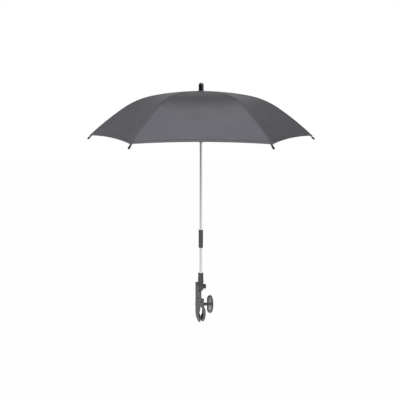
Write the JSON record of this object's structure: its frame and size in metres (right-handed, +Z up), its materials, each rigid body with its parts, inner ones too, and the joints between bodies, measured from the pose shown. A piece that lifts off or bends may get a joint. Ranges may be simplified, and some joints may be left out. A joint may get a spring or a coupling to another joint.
{
  "type": "pram parasol",
  "caption": "Folding pram parasol: panelled cloth canopy on hinged ribs, jointed tube pole with lock sleeve, swivel socket and screw clamp for a pram handle.",
  "frame": {"origin": "middle of the tube seat in the claw, on the line of the pole", "axes": "+Z up the pole, +Y along the clamped tube, +X towards the clamp knob"},
  "size_m": [0.6854, 0.5944, 0.7621],
  "materials": {
    "cloth": "matt woven",
    "black_plastic": "moulded satin",
    "gloss_black": "polished",
    "rubber": "matt",
    "silver_tube": "polished tube",
    "rib_steel": "plated",
    "hardware": "zinc plated",
    "dark_steel": "blackened"
  },
  "bodies": {
    "clamp": {"clamp_arm": "black_plastic", "arm_pad": "rubber", "jaw_pivot_pin": "dark_steel", "clamp_bolt": "hardware", "hinge_bolt": "hardware", "friction_washer": "rubber", "hinge_cap_nut": "black_plastic"},
    "jaw": {"clamp_jaw": "black_plastic", "jaw_pad": "rubber"},
    "washer": {"thrust_washer": "dark_steel"},
    "knob": {"clamp_knob": "black_plastic", "knob_insert_nut": "hardware"},
    "socket": {"pole_socket": "black_plastic", "socket_rivet": "hardware", "lower_pole": "silver_tube", "knuckle_tongue": "hardware"},
    "upper": {"upper_pole": "silver_tube", "knuckle_fork": "hardware", "knuckle_pin": "hardware", "crown_hub": "black_plastic", "crown_ring": "rib_steel", "top_washer": "gloss_black", "finial": "gloss_black"},
    "sleeve": {"lock_sleeve": "black_plastic"},
    "runner": {"runner": "black_plastic", "runner_ring": "rib_steel"},
    "catch": {"runner_catch": "hardware"},
    "rib_1": {"rib_1": "rib_steel", "rib_tip_1": "gloss_black", "stretcher_pin_1": "hardware", "canopy_panel_1": "cloth"},
    "stretcher_1": {"stretcher_1": "rib_steel"},
    "rib_2": {"rib_2": "rib_steel", "rib_tip_2": "gloss_black", "stretcher_pin_2": "hardware", "canopy_panel_2": "cloth"},
    "stretcher_2": {"stretcher_2": "rib_steel"},
    "rib_3": {"rib_3": "rib_steel", "rib_tip_3": "gloss_black", "stretcher_pin_3": "hardware", "canopy_panel_3": "cloth"},
    "stretcher_3": {"stretcher_3": "rib_steel"},
    "rib_4": {"rib_4": "rib_steel", "rib_tip_4": "gloss_black", "stretcher_pin_4": "hardware", "canopy_panel_4": "cloth"},
    "stretcher_4": {"stretcher_4": "rib_steel"},
    "rib_5": {"rib_5": "rib_steel", "rib_tip_5": "gloss_black", "stretcher_pin_5": "hardware", "canopy_panel_5": "cloth"},
    "stretcher_5": {"stretcher_5": "rib_steel"},
    "rib_6": {"rib_6": "rib_steel", "rib_tip_6": "gloss_black", "stretcher_pin_6": "hardware", "canopy_panel_6": "cloth"},
    "stretcher_6": {"stretcher_6": "rib_steel"}
  },
  "joints": [
    {"name": "washer_slide", "type": "slide", "parent": "clamp", "child": "washer", "axis": [1, 0, 0], "range_m": [0, 0.00525]},
    {"name": "knob_turn", "type": "hinge", "parent": "washer", "child": "knob", "pos_m": [0, 0, 0.033], "axis": [1, 0, 0], "range_deg": [0, 1890]},
    {"name": "jaw_swing", "type": "hinge", "parent": "clamp", "child": "jaw", "pos_m": [0.003, 0, 0.045], "axis": [0, -1, 0], "range_deg": [0, 15]},
    {"name": "socket_hinge", "type": "hinge", "parent": "clamp", "child": "socket", "pos_m": [0, 0, 0.0955], "axis": [1, 0, 0], "range_deg": [-90, 90]},
    {"name": "pole_tilt", "type": "hinge", "parent": "socket", "child": "upper", "pos_m": [0, 0, 0.237], "axis": [0, 1, 0], "range_deg": [0, 60]},
    {"name": "sleeve_slide", "type": "slide", "parent": "upper", "child": "sleeve", "axis": [0, 0, 1], "range_m": [0, 0.06]},
    {"name": "runner_slide", "type": "slide", "parent": "upper", "child": "runner", "axis": [0, 0, -1], "range_m": [0, 0.20848], "deforming": ["canopy_panel_1", "canopy_panel_2", "canopy_panel_3", "canopy_panel_4", "canopy_panel_5", "canopy_panel_6", "runner_catch"]},
    {"name": "catch_press", "type": "slide", "parent": "upper", "child": "catch", "axis": [0, 1, 0], "range_m": [0, 0.0019], "stiffness_N_per_m": 800, "springref_m": -0.002},
    {"name": "rib_1_fold", "type": "hinge", "parent": "upper", "child": "rib_1", "pos_m": [0.0085, 0, 0.707], "axis": [0, 1, 0], "range_deg": [0, 60.1]},
    {"name": "stretcher_1_fold", "type": "hinge", "parent": "rib_1", "child": "stretcher_1", "pos_m": [0.16437, 0, 0.68853], "axis": [0, 1, 0], "range_deg": [-101.62, 0]},
    {"name": "rib_2_fold", "type": "hinge", "parent": "upper", "child": "rib_2", "pos_m": [0.00425, 0.00736, 0.707], "axis": [-0.866, 0.5, 0], "range_deg": [0, 60.1]},
    {"name": "stretcher_2_fold", "type": "hinge", "parent": "rib_2", "child": "stretcher_2", "pos_m": [0.08219, 0.14235, 0.68853], "axis": [-0.866, 0.5, 0], "range_deg": [-101.62, 0]},
    {"name": "rib_3_fold", "type": "hinge", "parent": "upper", "child": "rib_3", "pos_m": [-0.00425, 0.00736, 0.707], "axis": [-0.866, -0.5, 0], "range_deg": [0, 60.1]},
    {"name": "stretcher_3_fold", "type": "hinge", "parent": "rib_3", "child": "stretcher_3", "pos_m": [-0.08219, 0.14235, 0.68853], "axis": [-0.866, -0.5, 0], "range_deg": [-101.62, 0]},
    {"name": "rib_4_fold", "type": "hinge", "parent": "upper", "child": "rib_4", "pos_m": [-0.0085, 0, 0.707], "axis": [0, -1, 0], "range_deg": [0, 60.1]},
    {"name": "stretcher_4_fold", "type": "hinge", "parent": "rib_4", "child": "stretcher_4", "pos_m": [-0.16437, 0, 0.68853], "axis": [0, -1, 0], "range_deg": [-101.62, 0]},
    {"name": "rib_5_fold", "type": "hinge", "parent": "upper", "child": "rib_5", "pos_m": [-0.00425, -0.00736, 0.707], "axis": [0.866, -0.5, 0], "range_deg": [0, 60.1]},
    {"name": "stretcher_5_fold", "type": "hinge", "parent": "rib_5", "child": "stretcher_5", "pos_m": [-0.08219, -0.14235, 0.68853], "axis": [0.866, -0.5, 0], "range_deg": [-101.62, 0]},
    {"name": "rib_6_fold", "type": "hinge", "parent": "upper", "child": "rib_6", "pos_m": [0.00425, -0.00736, 0.707], "axis": [0.866, 0.5, 0], "range_deg": [0, 60.1]},
    {"name": "stretcher_6_fold", "type": "hinge", "parent": "rib_6", "child": "stretcher_6", "pos_m": [0.08219, -0.14235, 0.68853], "axis": [0.866, 0.5, 0], "range_deg": [-101.62, 0]}
  ],
  "couplings": [
    {"joint": "washer_slide", "follows": "knob_turn", "m_per_rad": 0.00015915},
    {"joint": "jaw_swing", "follows": "knob_turn", "ratio": 0.0079365},
    {"joint": "sleeve_slide", "follows": "pole_tilt", "m_per_rad": 0.057296},
    {"joint": "rib_1_fold", "follows": "runner_slide", "rad_per_m": 5.0231},
    {"joint": "stretcher_1_fold", "follows": "runner_slide", "rad_per_m": -8.4992},
    {"joint": "rib_2_fold", "follows": "runner_slide", "rad_per_m": 5.0231},
    {"joint": "stretcher_2_fold", "follows": "runner_slide", "rad_per_m": -8.4992},
    {"joint": "rib_3_fold", "follows": "runner_slide", "rad_per_m": 5.0231},
    {"joint": "stretcher_3_fold", "follows": "runner_slide", "rad_per_m": -8.4992},
    {"joint": "rib_4_fold", "follows": "runner_slide", "rad_per_m": 5.0231},
    {"joint": "stretcher_4_fold", "follows": "runner_slide", "rad_per_m": -8.4992},
    {"joint": "rib_5_fold", "follows": "runner_slide", "rad_per_m": 5.0231},
    {"joint": "stretcher_5_fold", "follows": "runner_slide", "rad_per_m": -8.4992},
    {"joint": "rib_6_fold", "follows": "runner_slide", "rad_per_m": 5.0231},
    {"joint": "stretcher_6_fold", "follows": "runner_slide", "rad_per_m": -8.4992}
  ]
}
